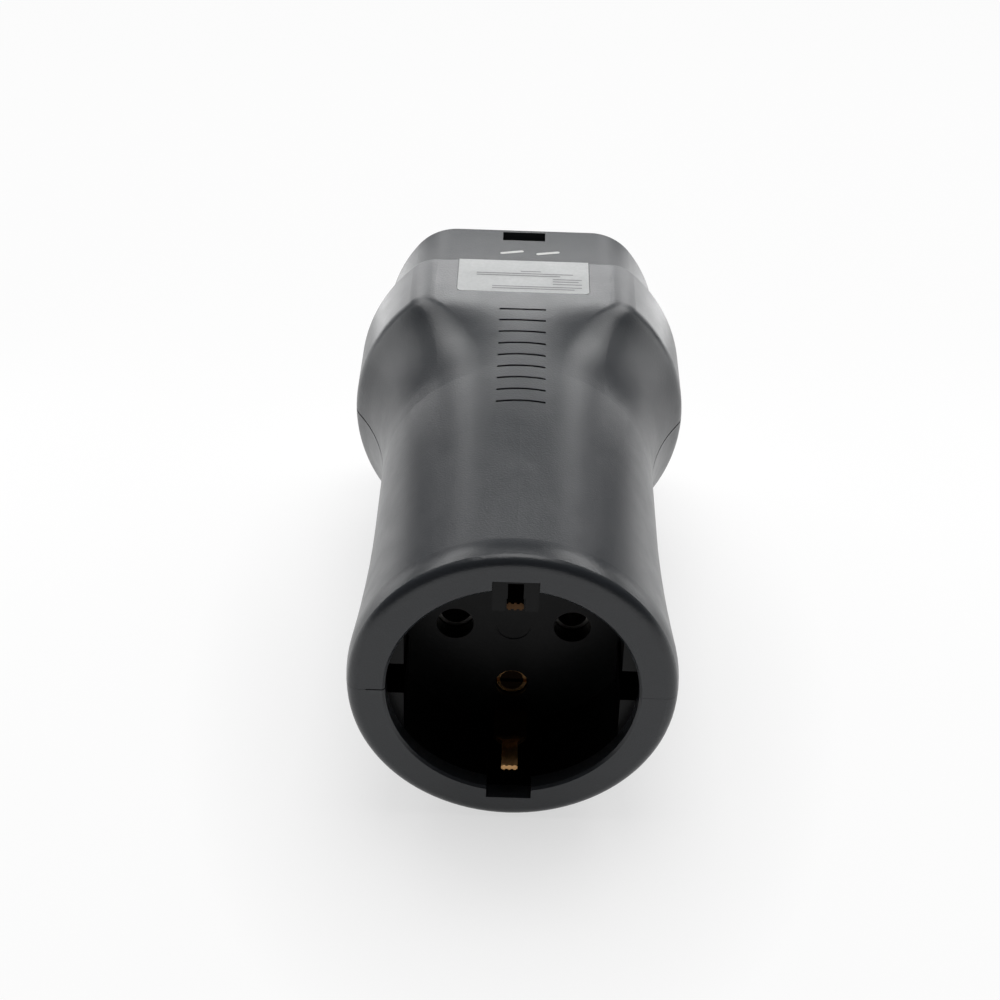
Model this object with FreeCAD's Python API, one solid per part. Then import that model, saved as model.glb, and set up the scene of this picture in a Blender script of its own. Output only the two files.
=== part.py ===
import FreeCAD, Part
import math
import os

# Charging adapter: an earthed household socket at the front, a D-shaped vehicle connector at the rear.
# Millimetres. Origin at the centre of the socket's front face, +Y along the axis to the connector's tip,
# +Z up to the flat side.

V = FreeCAD.Vector

# Clearances and walls
WALL = 2.2
FIT = 0.2
SLIP = 0.1
SEAM_GAP = 0.04
SEAM_WIDTH = 0.3
SEAM_DEPTH = 0.35

# Socket recess
RECESS_R = 19.75
RECESS_DEPTH = 17.5
PIN_PITCH = 19.0
PIN_R = 2.4
PIN_LENGTH = 19.0
PIN_HOLE_R = 3.0
PIN_END_GAP = 1.5
KEYWAY_WIDTH = 7.1
KEYWAY_TOP = 21.5
GUIDE_FLAT_X = 17.0
GUIDE_SLOT_HEIGHT = 5.8
KEY_BLOCK_INSET = 0.3
KEY_BLOCK_BOTTOM = 15.9
KEY_SLOT_WIDTH = 2.4
KEY_SLOT_LOW = 18.2
KEY_SLOT_HIGH = 21.0
CENTRE_MARK_R = 2.85
CENTRE_MARK_DEPTH = 0.15
MOUTH_EASE = 0.4

# Housing profile: lip, neck, cove and collar
RING_WALL = 3.0
RIM_WIDTH = 6.25
FACE_ROUND = 1.8
LIP_Y = 4.0
LIP_ROUND = 12.0
WAIST = 1.8
NECK_Y = 40.0
COVE_Y = 59.0
COVE_ROUND = 45.0
CORNER_ROUND = 6.0
COLLAR_CORNER = 7.0
COLLAR_END = 98.4
RIM_ROUND = 0.7
END_WALL = 2.5
FLAT_LIMIT = 0.99
FLAT_LEAD = 2.5

# Connector nose
NOSE_R = 26.9
NOSE_TOP = 20.7
NOSE_CORNER = 10.0
NOSE_LENGTH = 21.1
NOSE_WALL = 2.8
NOSE_TIP_ROUND = 1.0
FLANGE_WIDTH = 1.4
FLANGE_THICKNESS = 2.5
FLANGE_GAP = 0.3
GASKET_THICKNESS = 1.0
NOSE_RIB_THICKNESS = 2.5
LATCH_WIDTH = 8.3
LATCH_LENGTH = 3.5
LATCH_FROM_TIP = 1.6

# Connector contacts and their carrier
POWER_PITCH = 32.0
LOWER_PITCH = 18.0
LOWER_DROP = 14.0
SIGNAL_PITCH = 15.4
SIGNAL_RISE = 12.0
POWER_PIN_R = 3.0
SIGNAL_PIN_R = 1.5
SLEEVE_WALL = 0.95
SIGNAL_SLEEVE_WALL = 0.75
TUBE_WALL = 1.6
TUBE_LIP = 1.0
TUBE_RECESS = 2.2
SLEEVE_RECESS = 0.8
SLEEVE_SLOT = 0.6
SLEEVE_SLOT_LENGTH = 12.0
SLEEVE_BASE = 2.0
CONTACT_FLANGE_WIDTH = 0.6
CONTACT_FLANGE_THICKNESS = 2.0
CARRIER_PLATE = 4.0
CARRIER_LEDGE = 1.0
CARRIER_DEPTH = 31.0
RETAINER_THICKNESS = 2.5
BARREL_LENGTH = 7.0
NOSE_BARREL_R = 3.0
SIGNAL_TAIL_LENGTH = 5.2
SIGNAL_TAIL_PROUD = 1.2

# Earth bracket
STRIP_THICKNESS = 0.8
BRACKET_WIDTH = 8.0
BRACKET_PAST_SCREW = 4.0
CLIP_WIDTH = 5.4
CLIP_TIP_WIDTH = 2.6
CLIP_BEND_R = 1.0
CLIP_KNEE_R = 4.0
CLIP_TOUCH_R = 1.6
CLIP_Z = 19.0
CLIP_BEND_Y = 13.5
CLIP_TOUCH_Y = 4.6
CLIP_TOUCH_Z = 15.3
CLIP_TIP_Y = 1.2
CLIP_TIP_Z = 16.1
CLIP_TAPER_START = 10.5
CLIP_TAPER_END = 7.5
CLIP_RIDGE = 0.2
EARTH_TAIL_Z = 7.0
EARTH_TAIL_WIDTH = 4.0

# Socket floor, base and contacts
FLOOR_THICKNESS = 3.0
CUP_WALL = 2.1
CUP_STEP = 0.15
BASE_BACK_WALL = 1.5
CONTACT_WALL = 0.65
CONTACT_FRONT_GAP = 0.5
CONTACT_SLIT = 0.7
CONTACT_SLIT_LENGTH = 11.0
BARREL_R = 2.6
BARREL_OVERLAP = 0.5
CORE_END_GAP = 0.5
CUP_END_GAP = 1.5
BASE_RIB_THICKNESS = 1.8
BASE_RIB_WIDTH = 4.0

# Wires
WIRE_R = 1.7
CORE_R = 1.0
CORE_FIT = 0.06
STRIP_LENGTH = 5.0
WIRE_STRAIGHT = 6.8
BEND_SHARE = 0.45
LINK_R = 0.6

# Signal board and what is soldered to it
BOARD_THICKNESS = 1.6
BOARD_WIDTH = 24.0
BOARD_LOW = 8.5
BOARD_HIGH = 17.5
RESISTOR_R = 1.0
RESISTOR_LENGTH = 6.0
DIODE_R = 1.2
DIODE_LENGTH = 4.6
LEAD_R = 0.28
LEAD_REACH = 1.3
RESISTOR_TUCK = 0.4
LEAD_PROUD = 0.3
RESISTOR_RISE = 3.7
RESISTOR_X = 6.3

# Screws
SOCKET_SCREW_Z = 12.1
SOCKET_SCREW_R = 1.45
SOCKET_HEAD_R = 2.5
SOCKET_HEAD_HEIGHT = 1.4
SOCKET_HEAD_SINK = 0.9
SOCKET_SCREW_LENGTH = 12.0
RETAINER_SCREW_R = 1.2
RETAINER_HEAD_R = 2.2
RETAINER_HEAD_HEIGHT = 1.5
RETAINER_SCREW_LENGTH = 6.0
RETAINER_SCREW_X = 18.3
RETAINER_SCREW_HIGH = 10.0
RETAINER_SCREW_LOW = -9.6
HOUSING_SCREW_R = 1.45
HOUSING_HEAD_R = 2.8
HOUSING_HEAD_HEIGHT = 2.0
HOUSING_SCREW_LENGTH = 16.0
HOUSING_SEAT_Z = -8.0
BOSS_WALL = 1.6
BOSS_WEB = 1.6
BOSS_END = 2.0
WELL_FLOOR = 1.5
FRONT_BOSS_INSET = 5.4
REAR_BOSS_INSET = 8.5
REAR_BOSS_GAP = 1.7
SCREW_END_GAP = 1.0
SHORT_END_GAP = 0.3
DRIVE_WIDTH = 0.8
DRIVE_DEPTH = 0.7
THREAD_FIT = 0.05

# Tongue and groove along the seam
TONGUE_WIDTH = 0.9
TONGUE_HEIGHT = 1.2
MOULD_LINE_WIDTH = 0.2
MOULD_LINE_DEPTH = 0.6
MOULD_LINE_LENGTH = 3.0

# Narrow flats below the lip and the collar, on which the adapter lies
REST_FLAT_DEPTH = 0.15

# Grip lines on the neck and the plate on the collar
GRIP_COUNT = 9
GRIP_START = 48.0
GRIP_PITCH = 3.9
GRIP_LENGTH = 8.5
GRIP_WIDTH = 0.55
GRIP_DEPTH = 0.3
LABEL_WIDTH = 24.5
LABEL_LENGTH = 12.6
LABEL_THICKNESS = 0.3
LABEL_RECESS = 0.4
LABEL_CORNER = 0.8

# Places worked out from the sizes above
LIP_R = RECESS_R + RIM_WIDTH
NECK_R = LIP_R - WAIST
FLOOR_BACK = RECESS_DEPTH + FLOOR_THICKNESS
BRACKET_BACK = FLOOR_BACK + STRIP_THICKNESS
CONTACT_FRONT = FLOOR_BACK + CONTACT_FRONT_GAP
CONTACT_STEP = RECESS_DEPTH + PIN_LENGTH + PIN_END_GAP
BASE_BACK = CONTACT_STEP + BASE_BACK_WALL
BASE_RIB_Y = BASE_BACK + SLIP
FRONT_BOSS_Y = BASE_RIB_Y + BASE_RIB_THICKNESS + HOUSING_SCREW_R + BOSS_WALL + FIT
SOCKET_BARREL_END = CONTACT_STEP + BARREL_LENGTH + SLIP
INSERT_R = RECESS_R + CUP_STEP + CUP_WALL
NECK_BORE = NECK_R - WALL
BASE_R = NECK_BORE - FIT
COLLAR_R = NOSE_R + FLANGE_WIDTH + FLANGE_GAP + WALL
COLLAR_TOP = NOSE_TOP + FLANGE_WIDTH + FLANGE_GAP + WALL
COLLAR_CAVITY_END = COLLAR_END - END_WALL
NOSE_TIP = COLLAR_END + NOSE_LENGTH
FLANGE_BACK = COLLAR_CAVITY_END - GASKET_THICKNESS
FLANGE_FRONT = FLANGE_BACK - FLANGE_THICKNESS
NOSE_RIB_BACK = FLANGE_FRONT - SLIP
SLEEVE_LEDGE_Y = NOSE_TIP - CARRIER_DEPTH
PLATE_FRONT = SLEEVE_LEDGE_Y - CARRIER_PLATE
RETAINER_FRONT = PLATE_FRONT - RETAINER_THICKNESS
FRONT_BOSS_X = NECK_BORE - FRONT_BOSS_INSET
WELL_BOSS_R = HOUSING_HEAD_R + FIT + BOSS_WALL / 2
REAR_BOSS_X = COLLAR_R - REAR_BOSS_INSET
REAR_BOSS_Y = RETAINER_FRONT - WELL_BOSS_R - REAR_BOSS_GAP
SOCKET_SCREW_SEAT = RECESS_DEPTH + SOCKET_HEAD_SINK + SOCKET_HEAD_HEIGHT
TUBE_END = NOSE_TIP - TUBE_RECESS
SLEEVE_END = TUBE_END - TUBE_LIP - SLEEVE_RECESS
NOSE_BARREL_END = RETAINER_FRONT - BARREL_LENGTH
BOARD_FRONT = RETAINER_FRONT - SIGNAL_TAIL_LENGTH + SIGNAL_TAIL_PROUD
POWER_PLACES = {
    "line_contact": (POWER_PITCH / 2, 0.0),
    "neutral_contact": (-POWER_PITCH / 2, 0.0),
    "earth_contact": (0.0, 0.0),
}
BLANK_PLACES = ((LOWER_PITCH / 2, -LOWER_DROP), (-LOWER_PITCH / 2, -LOWER_DROP))
SIGNAL_PLACES = {
    "pilot_contact": (SIGNAL_PITCH / 2, SIGNAL_RISE),
    "proximity_contact": (-SIGNAL_PITCH / 2, SIGNAL_RISE),
}
RETAINER_SCREWS = (
    (RETAINER_SCREW_X, RETAINER_SCREW_HIGH),
    (-RETAINER_SCREW_X, RETAINER_SCREW_HIGH),
    (0.0, RETAINER_SCREW_LOW),
)
BOSS_PLACES = (
    (FRONT_BOSS_X, FRONT_BOSS_Y),
    (-FRONT_BOSS_X, FRONT_BOSS_Y),
    (REAR_BOSS_X, REAR_BOSS_Y),
    (-REAR_BOSS_X, REAR_BOSS_Y),
)


# Basic solids
def rod(r, y0, y1, x=0.0, z=0.0):
    """A cylinder along Y."""
    return Part.makeCylinder(r, y1 - y0, V(x, y0, z), V(0, 1, 0))


def post(r, z0, z1, x, y):
    """A cylinder along Z."""
    return Part.makeCylinder(r, z1 - z0, V(x, y, z0), V(0, 0, 1))


def tube(r_out, r_in, y0, y1, x=0.0, z=0.0):
    """A tube along Y."""
    return rod(r_out, y0, y1, x, z).cut(rod(r_in, y0, y1, x, z))


def block(x0, x1, y0, y1, z0, z1):
    """A box between two corners."""
    return Part.makeBox(x1 - x0, y1 - y0, z1 - z0, V(x0, y0, z0))


def join(first, *others):
    """One solid from several that meet."""
    return first.fuse(list(others)).removeSplitter()


def arc(a, b, c):
    """The edge from a to c through b."""
    return Part.Arc(a, b, c).toShape()


# The housing's outline
def outline_centres(r, top, corner, crown):
    """The centre of the corner arc and the height of the crown arc's centre."""
    low = top - crown
    z = (low ** 2 - (crown - corner) ** 2 + (r - corner) ** 2) / (2 * low)
    x = math.sqrt((r - corner) ** 2 - z ** 2)
    return x, z, low


def shares(r, inset):
    """How far the section has gone from the round neck to the D of the collar, and its sizes.

    The flat forms ahead of the sides, so its front edge is soft and lies before the collar's corner.
    """
    share = (r - NECK_R) / (COLLAR_R - NECK_R)
    share = min(max(share, 0.0), 1.0)
    flat = 1.0 - (1.0 - share) ** FLAT_LEAD
    top = NECK_R + flat * (COLLAR_TOP - NECK_R)
    corner = NECK_R + flat * (COLLAR_CORNER - NECK_R)
    crown = NECK_R / (1.0 - flat * FLAT_LIMIT)
    return share, top - inset, corner - inset, crown - inset


def d_section(y, r, inset=0.0):
    """The closed outline of the housing at y, where its side stands r from the axis."""
    tiny = 1e-4
    share, top, corner, crown = shares(r, inset)
    side = r - inset
    near = max(share, tiny)
    probe = shares(NECK_R + near * (COLLAR_R - NECK_R), inset)
    probe_side = NECK_R + near * (COLLAR_R - NECK_R) - inset
    x, z, low = outline_centres(probe_side, probe[1], probe[2], probe[3])
    first = math.atan2(z, x)
    second = math.atan2(z - low, x)
    if share < tiny:
        x, z, low = 0.0, 0.0, 0.0
        corner = side
        crown = side

    def at(cx, cz, radius, angle, sign=1):
        return V(sign * (cx + radius * math.cos(angle)), y, cz + radius * math.sin(angle))

    middle = (first + second) / 2
    edges = []
    edges.append(arc(at(0, 0, side, 0), at(0, 0, side, first / 2), at(0, 0, side, first)))
    edges.append(arc(at(0, 0, side, first), at(x, z, corner, middle), at(0, low, crown, second)))
    edges.append(arc(at(0, low, crown, second), V(0, y, low + crown), at(0, low, crown, second, -1)))
    left_end = at(0, 0, side, first, -1)
    edges.append(arc(at(0, low, crown, second, -1), at(x, z, corner, middle, -1), left_end))
    edges.append(arc(left_end, at(0, 0, side, first / 2, -1), at(0, 0, side, 0, -1)))
    edges.append(arc(V(-side, y, 0), V(0, y, -side), V(side, y, 0)))
    return Part.Wire(edges)


def cove_stations():
    """Pairs of place and radius along the hollow cove and the round corner where it meets the collar."""
    rise = NECK_R + COVE_ROUND - (COLLAR_R - CORNER_ROUND)
    reach = math.sqrt((COVE_ROUND + CORNER_ROUND) ** 2 - rise ** 2)
    turn = math.atan2(reach, rise)
    cove_steps = 8
    corner_steps = 4
    stations = []
    for i in range(cove_steps):
        a = turn * i / cove_steps
        stations.append((COVE_Y + COVE_ROUND * math.sin(a), NECK_R + COVE_ROUND * (1 - math.cos(a))))
    for i in range(corner_steps + 1):
        a = turn * (1 - i / corner_steps)
        y = COVE_Y + reach - CORNER_ROUND * math.sin(a)
        stations.append((y, COLLAR_R - CORNER_ROUND * (1 - math.cos(a))))
    return stations


def front_profile(inset):
    """The turned front: rounded face edge, lip and neck, up to the cove."""
    total = ((NECK_Y - LIP_Y) ** 2 + (LIP_R - NECK_R) ** 2) / (2 * (LIP_R - NECK_R))
    neck_round = total - LIP_ROUND
    lip_low = LIP_R - LIP_ROUND
    bend = math.atan2(NECK_Y - LIP_Y, total - (LIP_R - NECK_R))
    edge_y = FACE_ROUND
    edge_drop = LIP_ROUND - FACE_ROUND
    edge_r = lip_low + math.sqrt(edge_drop ** 2 - (LIP_Y - edge_y) ** 2)
    start = math.atan2(edge_y - LIP_Y, edge_r - lip_low)

    def lip(angle):
        radius = LIP_ROUND - inset
        return V(0, LIP_Y + radius * math.sin(angle), lip_low + radius * math.cos(angle))

    def neck(angle):
        radius = neck_round + inset
        return V(0, NECK_Y - radius * math.sin(angle), NECK_R + neck_round - radius * math.cos(angle))

    def edge(angle):
        radius = FACE_ROUND - inset
        return V(0, edge_y + radius * math.sin(angle), edge_r + radius * math.cos(angle))

    face = -math.pi / 2
    edges = []
    if inset < FACE_ROUND:
        first = edge(face)
        edges.append(arc(first, edge((face + start) / 2), lip(start)))
    else:
        first = lip(start)
    edges.append(arc(lip(start), lip((start + bend) / 2), lip(bend)))
    edges.append(arc(lip(bend), neck(bend / 2), neck(0)))
    last = V(0, COVE_Y, NECK_R - inset)
    edges.append(Part.LineSegment(neck(0), last).toShape())
    corner = V(0, COVE_Y, 0)
    centre = V(0, first.y, 0)
    edges.append(Part.LineSegment(last, corner).toShape())
    edges.append(Part.LineSegment(corner, centre).toShape())
    edges.append(Part.LineSegment(centre, first).toShape())
    return Part.Face(Part.Wire(edges))


def housing_body(inset=0.0):
    """The whole outer form of the housing, drawn in by the inset."""
    front = front_profile(inset).revolve(V(0, 0, 0), V(0, 1, 0), 360)
    stations = cove_stations()
    cove = Part.makeLoft([d_section(y, r, inset) for y, r in stations], True, False)
    last_y, last_r = stations[-1]
    collar = Part.Face(d_section(last_y, last_r, inset)).extrude(V(0, COLLAR_END - last_y, 0))
    return front.fuse([cove, collar])


# D-shaped solids of the connector
def d_prism(y0, y1, grow):
    """A prism of the connector's D outline, grown or shrunk all round."""
    r = NOSE_R + grow
    top = NOSE_TOP + grow
    corner = NOSE_CORNER + grow
    z = top - corner
    x = math.sqrt((r - corner) ** 2 - z ** 2)
    a = math.atan2(z, x)
    half = (a + math.pi / 2) / 2
    right = V(r * math.cos(a), y0, r * math.sin(a))
    left = V(-right.x, y0, right.z)
    edges = [
        arc(left, V(0, y0, -r), right),
        arc(right, V(x + corner * math.cos(half), y0, z + corner * math.sin(half)), V(x, y0, top)),
        Part.LineSegment(V(x, y0, top), V(-x, y0, top)).toShape(),
        arc(V(-x, y0, top), V(-x - corner * math.cos(half), y0, z + corner * math.sin(half)), left),
    ]
    return Part.Face(Part.Wire(edges)).extrude(V(0, y1 - y0, 0))


def edges_at(shape, y, tolerance=1e-3):
    """The edges of a shape that lie in the plane y."""
    found = []
    for e in shape.Edges:
        box = e.BoundBox
        if abs(box.YMin - y) < tolerance and abs(box.YMax - y) < tolerance:
            found.append(e)
    return found


# Screws
def screw_along_y(x, z, seat, length, r, head_r, head_height):
    """A screw whose head bears on the plane y = seat and whose shank runs towards +Y."""
    shank = rod(r, seat, seat + length, x, z)
    head = rod(head_r, seat - head_height, seat, x, z)
    slot = block(x - head_r, x + head_r, seat - head_height, seat - head_height + DRIVE_DEPTH,
                 z - DRIVE_WIDTH / 2, z + DRIVE_WIDTH / 2)
    return join(head, shank).cut(slot)


def housing_screw(x, y):
    """A screw that points up from its seat in the lower half."""
    shank = post(HOUSING_SCREW_R, HOUSING_SEAT_Z, HOUSING_SEAT_Z + HOUSING_SCREW_LENGTH, x, y)
    low = HOUSING_SEAT_Z - HOUSING_HEAD_HEIGHT
    head = post(HOUSING_HEAD_R, low, HOUSING_SEAT_Z, x, y)
    reach = HOUSING_HEAD_R * 0.7
    slots = block(x - reach, x + reach, y - DRIVE_WIDTH / 2, y + DRIVE_WIDTH / 2, low, low + DRIVE_DEPTH)
    cross = block(x - DRIVE_WIDTH / 2, x + DRIVE_WIDTH / 2, y - reach, y + reach, low, low + DRIVE_DEPTH)
    return join(head, shank).cut(slots).cut(cross)


# The two halves of the housing
def grip_lines(y, skin):
    """One engraved line across the neck, of even depth below the skin."""
    reach = GRIP_LENGTH / 2 - GRIP_WIDTH / 2
    low = NECK_BORE
    high = COLLAR_TOP + 1
    bar = block(-reach, reach, y - GRIP_WIDTH / 2, y + GRIP_WIDTH / 2, low, high)
    ends = [post(GRIP_WIDTH / 2, low, high, sign * reach, y) for sign in (-1, 1)]
    return bar.fuse(ends).cut(skin)


def label_plate(grow, low, high):
    """The plate's outline with round corners at its front, up to the collar's rear edge."""
    half = LABEL_WIDTH / 2 + grow
    y0 = COLLAR_END - LABEL_LENGTH - grow
    y1 = COLLAR_END
    plate = block(-half, half, y0, y1, low, high)
    upright = []
    for e in plate.Edges:
        box = e.BoundBox
        if box.ZLength > (high - low) / 2 and box.YMax < y0 + 0.1:
            upright.append(e)
    return plate.makeFillet(LABEL_CORNER, upright)


def cavity():
    """The hollow inside both halves."""
    bore = rod(INSERT_R + FIT, RING_WALL, FLOOR_BACK + CUP_END_GAP)
    inner = housing_body(WALL)
    span = 2 * COLLAR_R
    limits = block(-span, span, RING_WALL, COLLAR_CAVITY_END, -span, span)
    neck = rod(NECK_BORE, FLOOR_BACK, COVE_Y)
    rear = block(-span, span, COVE_Y, COLLAR_CAVITY_END, -span, span)
    return bore.fuse([neck, inner.common(rear)]).common(limits)


def socket_mouth():
    """The opening in the ring, with its keyways and eased front edge."""
    hole = rod(RECESS_R, -1, RING_WALL + 1)
    flare = Part.makeCone(RECESS_R + MOUTH_EASE, RECESS_R, MOUTH_EASE, V(0, 0, 0), V(0, 1, 0))
    half = KEYWAY_WIDTH / 2 + SLIP / 2
    keys = block(-half, half, -1, RING_WALL + 1, -KEYWAY_TOP, KEYWAY_TOP)
    return hole.fuse([flare, keys])


def inner_ribs(body):
    """Ribs inside the housing that hold the socket base and the flange of the nose."""
    base_rib_end = BASE_RIB_Y + BASE_RIB_THICKNESS
    base_rib = tube(NECK_BORE + WALL / 2, NECK_BORE - BASE_RIB_WIDTH, BASE_RIB_Y, base_rib_end)
    y0 = NOSE_RIB_BACK - NOSE_RIB_THICKNESS
    nose_rib = d_prism(y0, NOSE_RIB_BACK, FLANGE_WIDTH + FLANGE_GAP + WALL / 2)
    corner_fill = body.common(block(-COLLAR_R, COLLAR_R, y0, NOSE_RIB_BACK, -COLLAR_R, COLLAR_R))
    nose_rib = nose_rib.fuse(corner_fill).common(body).cut(d_prism(y0 - 1, NOSE_RIB_BACK + 1, FIT))
    return [base_rib, nose_rib]


def bosses(body):
    """Screw bosses of both halves, kept inside the housing's skin."""
    shaft_r = HOUSING_SCREW_R + BOSS_WALL
    columns = []
    for x, y in BOSS_PLACES:
        columns.append(post(shaft_r, -COLLAR_R, HOUSING_SEAT_Z + HOUSING_SCREW_LENGTH + BOSS_END, x, y))
        columns.append(post(WELL_BOSS_R, -COLLAR_R, HOUSING_SEAT_Z + WELL_FLOOR, x, y))
        if y == FRONT_BOSS_Y:
            side = math.copysign(1, x)
            web = sorted((x, side * (NECK_BORE + WALL / 2)))
            reach = HOUSING_SCREW_LENGTH / 2
            columns.append(block(web[0], web[1], y - BOSS_WEB / 2, y + BOSS_WEB / 2, -reach, reach))
    merged = columns[0].fuse(columns[1:])
    return merged.common(body)


def screw_holes():
    """Clearance holes and head wells below the seam, pilot holes above it."""
    holes = []
    for x, y in BOSS_PLACES:
        tip = HOUSING_SEAT_Z + HOUSING_SCREW_LENGTH + SCREW_END_GAP
        holes.append(post(HOUSING_SCREW_R + THREAD_FIT, -SEAM_GAP, tip, x, y))
        holes.append(post(HOUSING_SCREW_R + FIT, HOUSING_SEAT_Z - 1, 0, x, y))
        holes.append(post(HOUSING_HEAD_R + FIT, -2 * COLLAR_R, HOUSING_SEAT_Z, x, y))
    return holes


def housing():
    """Both halves as one shell, before the seam is cut, with its skin for later cuts."""
    body = housing_body()
    rim = edges_at(body, COLLAR_END)
    body = body.makeFillet(RIM_ROUND, rim)
    shell = body.cut(cavity())
    shell = shell.cut([socket_mouth(), d_prism(COLLAR_CAVITY_END - 1, COLLAR_END + 1, FIT)])
    shell = shell.fuse(inner_ribs(body) + [bosses(body)])
    return shell.cut(screw_holes())


def seam_parts():
    """The groove around the seam, the tongue on the lower half and its slot in the upper one."""
    span = 2 * COLLAR_R
    half = SEAM_WIDTH / 2
    slab = block(-span, span, FACE_ROUND, COLLAR_END + 1, -half, half)
    groove = slab.cut(housing_body(SEAM_DEPTH))
    outer = WALL - TONGUE_WIDTH
    y0 = BASE_RIB_Y + BASE_RIB_THICKNESS
    y1 = COLLAR_CAVITY_END - 1
    inner = housing_body(WALL)
    tongue = housing_body(outer).cut(inner)
    tongue = tongue.common(block(-span, span, y0, y1, -TONGUE_HEIGHT, TONGUE_HEIGHT))
    slot = housing_body(outer - SLIP)
    slot = slot.common(block(-span, span, y0 - SLIP, y1 + SLIP, -1, TONGUE_HEIGHT + SLIP))
    slot = slot.cut(inner.common(block(-span, span, y0 - 1, y1 + 1, -2, TONGUE_HEIGHT + 1)))
    return groove, tongue, slot


def rest_flats():
    """What is cut away below the plane that touches the lip and the collar, let in a little."""
    last_y, last_r = cove_stations()[-1]
    lip_low = LIP_R - LIP_ROUND
    along = last_y - LIP_Y
    rise = last_r - CORNER_ROUND - lip_low
    turn = math.atan2(rise, along) - math.asin((LIP_ROUND - CORNER_ROUND) / math.hypot(along, rise))
    span = 2 * COLLAR_END
    slab = block(-span, span, -span, span, -span, REST_FLAT_DEPTH - LIP_ROUND)
    slab.rotate(V(0, 0, 0), V(1, 0, 0), -math.degrees(turn))
    slab.translate(V(0, LIP_Y, -lip_low))
    return slab


def make_shells():
    """The upper and the lower half of the housing."""
    shell = housing()
    groove, tongue, slot = seam_parts()
    span = 2 * COLLAR_R
    above = block(-span, span, -1, COLLAR_END + 1, SEAM_GAP / 2, span)
    below = block(-span, span, -1, COLLAR_END + 1, -span, -SEAM_GAP / 2)
    shell = shell.cut(groove)
    line_x = -RECESS_R - MOULD_LINE_LENGTH
    line_z = MOULD_LINE_WIDTH / 2
    mould_line = block(line_x, -RECESS_R + 1, -1, MOULD_LINE_DEPTH, -line_z, line_z)
    upper = shell.common(above).cut([slot, mould_line])
    clear_r = HOUSING_SCREW_R + BOSS_WALL + SLIP
    boss_clear = [post(clear_r, -1, TONGUE_HEIGHT + 1, x, y) for x, y in BOSS_PLACES]
    tongue = tongue.common(block(-span, span, 0, COLLAR_END, -SEAM_GAP, span)).cut(boss_clear)
    lower = shell.common(below).fuse(tongue).cut([mould_line, rest_flats()])
    skin = housing_body(GRIP_DEPTH)
    lines = [grip_lines(GRIP_START + i * GRIP_PITCH, skin) for i in range(GRIP_COUNT)]
    recess = label_plate(FIT / 2, COLLAR_TOP - LABEL_RECESS, COLLAR_TOP + 1)
    upper = upper.cut(lines + [recess])
    return upper.removeSplitter(), lower.removeSplitter()


def make_label():
    """The thin plate that lies in its recess on the collar."""
    low = COLLAR_TOP - LABEL_RECESS
    return label_plate(-FIT / 2, low, low + LABEL_THICKNESS)


# The socket
def key_block():
    """The block that fills the upper keyway and guides the upper earthing clip."""
    half = KEYWAY_WIDTH / 2 - SLIP / 2
    top = KEYWAY_TOP - SLIP
    body = block(-half, half, KEY_BLOCK_INSET, RECESS_DEPTH, KEY_BLOCK_BOTTOM, top)
    slot_half = KEY_SLOT_WIDTH / 2
    slot = block(-slot_half, slot_half, 0, RECESS_DEPTH, KEY_SLOT_LOW, KEY_SLOT_HIGH)
    wide = CLIP_WIDTH / 2 + FIT
    narrow = CLIP_TIP_WIDTH / 2 + FIT
    roof = CLIP_Z + STRIP_THICKNESS / 2 + 3 * FIT
    room = block(-wide, wide, CLIP_TAPER_END - 1, RECESS_DEPTH, KEY_BLOCK_BOTTOM - 1, roof)
    mouth = block(-narrow, narrow, 0, CLIP_TAPER_END, KEY_BLOCK_BOTTOM - 1, KEY_SLOT_LOW)
    return body.cut([slot, room, mouth])


def make_socket_insert():
    """The cup with its floor, guide ribs, key block and holes."""
    inner_r = RECESS_R + CUP_STEP
    cup = rod(INSERT_R, RING_WALL, FLOOR_BACK).cut(rod(inner_r, RING_WALL - 1, RECESS_DEPTH))
    guides = []
    for side in (-1, 1):
        x = sorted((side * GUIDE_FLAT_X, side * (inner_r + 1)))
        rib = block(x[0], x[1], RING_WALL, RECESS_DEPTH, -RECESS_R, RECESS_R)
        rib = rib.common(rod(inner_r + CUP_WALL / 2, 0, FLOOR_BACK))
        gap = block(x[0] - 1, x[1] + 1, 0, RECESS_DEPTH, -GUIDE_SLOT_HEIGHT / 2, GUIDE_SLOT_HEIGHT / 2)
        guides.append(rib.cut(gap.common(rod(inner_r, 0, RECESS_DEPTH))))
    cup = cup.fuse(guides)
    half = KEYWAY_WIDTH / 2
    channel = block(-half, half, RING_WALL - 1, RECESS_DEPTH, -KEYWAY_TOP + SLIP, KEYWAY_TOP - SLIP)
    cup = cup.cut(channel).fuse(key_block())
    cuts = []
    for side in (-1, 1):
        cuts.append(rod(PIN_HOLE_R, 0, FLOOR_BACK + 1, side * PIN_PITCH / 2, 0))
        z = side * SOCKET_SCREW_Z
        cuts.append(rod(SOCKET_SCREW_R + FIT, 0, FLOOR_BACK + 1, 0, z))
        cuts.append(rod(SOCKET_HEAD_R + FIT, RECESS_DEPTH - 1, SOCKET_SCREW_SEAT, 0, z))
        wide = CLIP_WIDTH / 2 + FIT
        low = CLIP_Z - STRIP_THICKNESS / 2 - CLIP_BEND_R - SLIP
        span = sorted((side * low, side * (CLIP_Z + STRIP_THICKNESS / 2 + FIT)))
        cuts.append(block(-wide, wide, RECESS_DEPTH - 1, FLOOR_BACK + 1, span[0], span[1]))
    cuts.append(rod(CENTRE_MARK_R, RECESS_DEPTH - 1, RECESS_DEPTH + CENTRE_MARK_DEPTH))
    return cup.cut(cuts).removeSplitter()


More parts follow.
